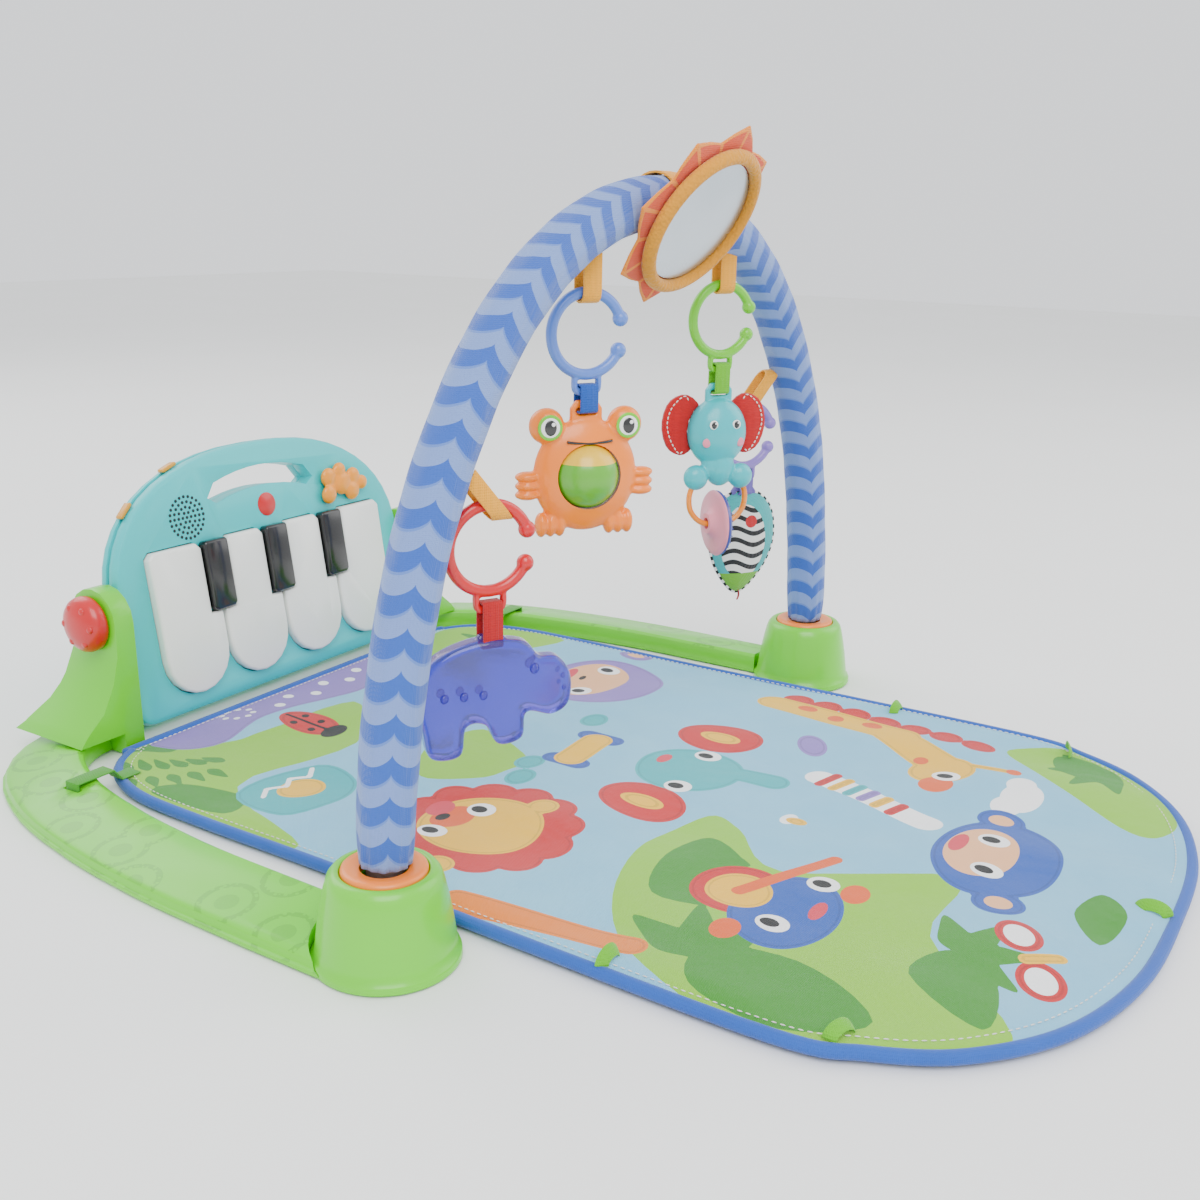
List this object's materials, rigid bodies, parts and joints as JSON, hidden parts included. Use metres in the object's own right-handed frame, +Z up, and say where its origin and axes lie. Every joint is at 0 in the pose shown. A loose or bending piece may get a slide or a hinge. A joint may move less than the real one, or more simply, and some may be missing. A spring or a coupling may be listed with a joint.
{
  "type": "activity play gym",
  "caption": "Baby play gym: a U-shaped floor base and quilted mat under a padded arch with hanging toys and a sun mirror, and a tilting kick keyboard between uprights at one end.",
  "frame": {"origin": "on the floor, under the middle of the whole gym", "axes": "+Z up, +Y towards the keyboard, +X across the arch with the mirror facing -Y"},
  "size_m": [0.69, 0.839, 0.4814],
  "materials": {
    "lime_plastic": "gloss",
    "orange_plastic": "gloss",
    "red_plastic": "gloss",
    "aqua_plastic": "satin",
    "white_key": "gloss",
    "black_key": "gloss",
    "yellow_plastic": "gloss",
    "gold_plastic": "satin",
    "blue_plastic": "gloss",
    "green_plastic": "gloss",
    "purple_plastic": "gloss",
    "pink_plastic": "satin",
    "navy_plastic": "satin",
    "teal_plastic": "gloss",
    "indigo_clear": "gloss, see-through tint",
    "steel_tube": "satin",
    "sleeve_fabric": "woven print",
    "mat_fabric": "quilted print",
    "sun_fabric": "woven",
    "terry": "looped pile",
    "yellow_webbing": "woven",
    "red_webbing": "woven",
    "blue_webbing": "woven",
    "green_webbing": "woven",
    "purple_webbing": "woven",
    "ear_fabric": "plush",
    "zebra_fabric": "printed",
    "mirror_film": "soft mirror",
    "dark_plastic": "matte",
    "board_green": "satin"
  },
  "bodies": {
    "base": {"rail_left": "lime_plastic", "rail_right": "lime_plastic", "cross_member": "lime_plastic", "upright_left": "lime_plastic", "upright_right": "lime_plastic", "foot_left": "lime_plastic", "foot_right": "lime_plastic", "collar_left": "orange_plastic", "collar_right": "orange_plastic", "mat_pad": "mat_fabric", "mat_tie_left": "green_webbing", "mat_tie_right": "green_webbing"},
    "knob_left": {"knob_left": "red_plastic"},
    "knob_right": {"knob_right": "red_plastic"},
    "keyboard": {"keyboard_front": "aqua_plastic", "keyboard_back": "aqua_plastic", "battery_door": "aqua_plastic", "battery_pack": "dark_plastic", "circuit_board": "board_green", "speaker": "dark_plastic", "black_key_1": "black_key", "black_key_2": "black_key", "black_key_3": "black_key"},
    "flower_button": {"flower_button": "yellow_plastic"},
    "power_slider": {"power_slider": "gold_plastic"},
    "volume_slider": {"volume_slider": "gold_plastic"},
    "arch": {"arch_tube_left": "steel_tube", "arch_tube_right": "steel_tube", "arch_sleeve": "sleeve_fabric", "loop_red": "yellow_webbing", "loop_blue": "yellow_webbing", "loop_green": "yellow_webbing", "loop_purple": "yellow_webbing"},
    "mirror": {"sun_pad": "sun_fabric", "mirror_rim": "terry", "mirror_plate": "mirror_film", "mirror_strap": "yellow_webbing"},
    "link_red": {"link_red": "red_plastic"},
    "link_blue": {"link_blue": "blue_plastic"},
    "link_green": {"link_green": "green_plastic"},
    "link_purple": {"link_purple": "purple_plastic"},
    "hippo": {"strap_red": "red_webbing", "hippo_teether": "indigo_clear"},
    "frog": {"strap_blue": "blue_webbing", "frog_front": "orange_plastic", "frog_back": "orange_plastic"},
    "frog_ball": {"frog_ball": "green_plastic"},
    "elephant": {"strap_green": "green_webbing", "elephant_head": "teal_plastic", "elephant_ear_left": "ear_fabric", "elephant_ear_right": "ear_fabric", "elephant_hoop": "yellow_plastic"},
    "spinner_pink": {"spinner_pink": "pink_plastic"},
    "spinner_blue": {"spinner_blue": "navy_plastic"},
    "zebra": {"strap_purple": "purple_webbing", "zebra_pad": "zebra_fabric"},
    "white_key_1": {"white_key_1": "white_key"},
    "white_key_2": {"white_key_2": "white_key"},
    "white_key_3": {"white_key_3": "white_key"},
    "white_key_4": {"white_key_4": "white_key"}
  },
  "joints": [
    {"name": "keyboard_tilt", "type": "hinge", "parent": "base", "child": "keyboard", "pos_m": [0, 0.3665, 0.106], "axis": [-1, 0, 0], "range_deg": [-4, 45]},
    {"name": "knob_left_turn", "type": "hinge", "parent": "base", "child": "knob_left", "pos_m": [-0.19, 0.3665, 0.106], "axis": [-1, 0, 0], "continuous": true},
    {"name": "knob_right_turn", "type": "hinge", "parent": "base", "child": "knob_right", "pos_m": [0.19, 0.3665, 0.106], "axis": [1, 0, 0], "continuous": true},
    {"name": "arch_lift", "type": "slide", "parent": "base", "child": "arch", "axis": [0, 0, 1], "range_m": [0, 0.04]},
    {"name": "white_key_1_press", "type": "hinge", "parent": "keyboard", "child": "white_key_1", "pos_m": [-0.1053, 0.36621, 0.14795], "axis": [1, 0, 0], "range_deg": [0, 2.5], "stiffness_Nm_per_rad": 3, "springref_deg": -1.72},
    {"name": "white_key_2_press", "type": "hinge", "parent": "keyboard", "child": "white_key_2", "pos_m": [-0.0351, 0.36621, 0.14795], "axis": [1, 0, 0], "range_deg": [0, 2.5], "stiffness_Nm_per_rad": 3, "springref_deg": -1.72},
    {"name": "white_key_3_press", "type": "hinge", "parent": "keyboard", "child": "white_key_3", "pos_m": [0.0351, 0.36621, 0.14795], "axis": [1, 0, 0], "range_deg": [0, 2.5], "stiffness_Nm_per_rad": 3, "springref_deg": -1.72},
    {"name": "white_key_4_press", "type": "hinge", "parent": "keyboard", "child": "white_key_4", "pos_m": [0.1053, 0.36621, 0.14795], "axis": [1, 0, 0], "range_deg": [0, 2.5], "stiffness_Nm_per_rad": 3, "springref_deg": -1.72},
    {"name": "flower_button_press", "type": "slide", "parent": "keyboard", "child": "flower_button", "axis": [0, 0.9874, -0.1582], "range_m": [0, 0.0018], "stiffness_N_per_m": 400, "springref_m": -0.001},
    {"name": "power_slide", "type": "slide", "parent": "keyboard", "child": "power_slider", "axis": [0.7382, 0.1067, 0.6661], "range_m": [0, 0.005]},
    {"name": "volume_slide", "type": "slide", "parent": "keyboard", "child": "volume_slider", "axis": [0.9488, 0.05, 0.312], "range_m": [-0.003, 0.003]},
    {"name": "mirror_tilt", "type": "hinge", "parent": "arch", "child": "mirror", "pos_m": [0, -0.0295, 0.4315], "axis": [1, 0, 0], "range_deg": [-12, 4]},
    {"name": "link_red_swing", "type": "hinge", "parent": "arch", "child": "link_red", "pos_m": [-0.217, -0.0445, 0.2603], "axis": [0.8829, -0.4695, 0], "range_deg": [-1, 15]},
    {"name": "link_blue_swing", "type": "hinge", "parent": "arch", "child": "link_blue", "pos_m": [-0.091, -0.0295, 0.3753], "axis": [0.8829, -0.4695, 0], "range_deg": [-30, 30]},
    {"name": "link_green_swing", "type": "hinge", "parent": "arch", "child": "link_green", "pos_m": [0.099, -0.0295, 0.3733], "axis": [0.8829, -0.4695, 0], "range_deg": [-30, 30]},
    {"name": "link_purple_swing", "type": "hinge", "parent": "arch", "child": "link_purple", "pos_m": [0.195, -0.0085, 0.2703], "axis": [0.8829, -0.4695, 0], "range_deg": [-15, 15]},
    {"name": "hippo_swing", "type": "hinge", "parent": "link_red", "child": "hippo", "pos_m": [-0.217, -0.0445, 0.1968], "axis": [0.8829, -0.4695, 0], "range_deg": [-5, 25]},
    {"name": "frog_swing", "type": "hinge", "parent": "link_blue", "child": "frog", "pos_m": [-0.091, -0.0295, 0.3118], "axis": [0.8829, -0.4695, 0], "range_deg": [-30, 30]},
    {"name": "elephant_swing", "type": "hinge", "parent": "link_green", "child": "elephant", "pos_m": [0.099, -0.0295, 0.3098], "axis": [0.8829, -0.4695, 0], "range_deg": [-30, 30]},
    {"name": "zebra_swing", "type": "hinge", "parent": "link_purple", "child": "zebra", "pos_m": [0.195, -0.0085, 0.2068], "axis": [0.8829, -0.4695, 0], "range_deg": [-25, 25]},
    {"name": "frog_ball_roll", "type": "hinge", "parent": "frog", "child": "frog_ball", "pos_m": [-0.091, -0.0295, 0.257], "axis": [0.788, -0.6157, 0], "continuous": true},
    {"name": "spinner_pink_spin", "type": "hinge", "parent": "elephant", "child": "spinner_pink", "pos_m": [0.09531, -0.03423, 0.1898], "axis": [0.788, -0.6157, 0], "continuous": true},
    {"name": "spinner_blue_spin", "type": "hinge", "parent": "elephant", "child": "spinner_blue", "pos_m": [0.09531, -0.03423, 0.1898], "axis": [0.788, -0.6157, 0], "continuous": true}
  ]
}
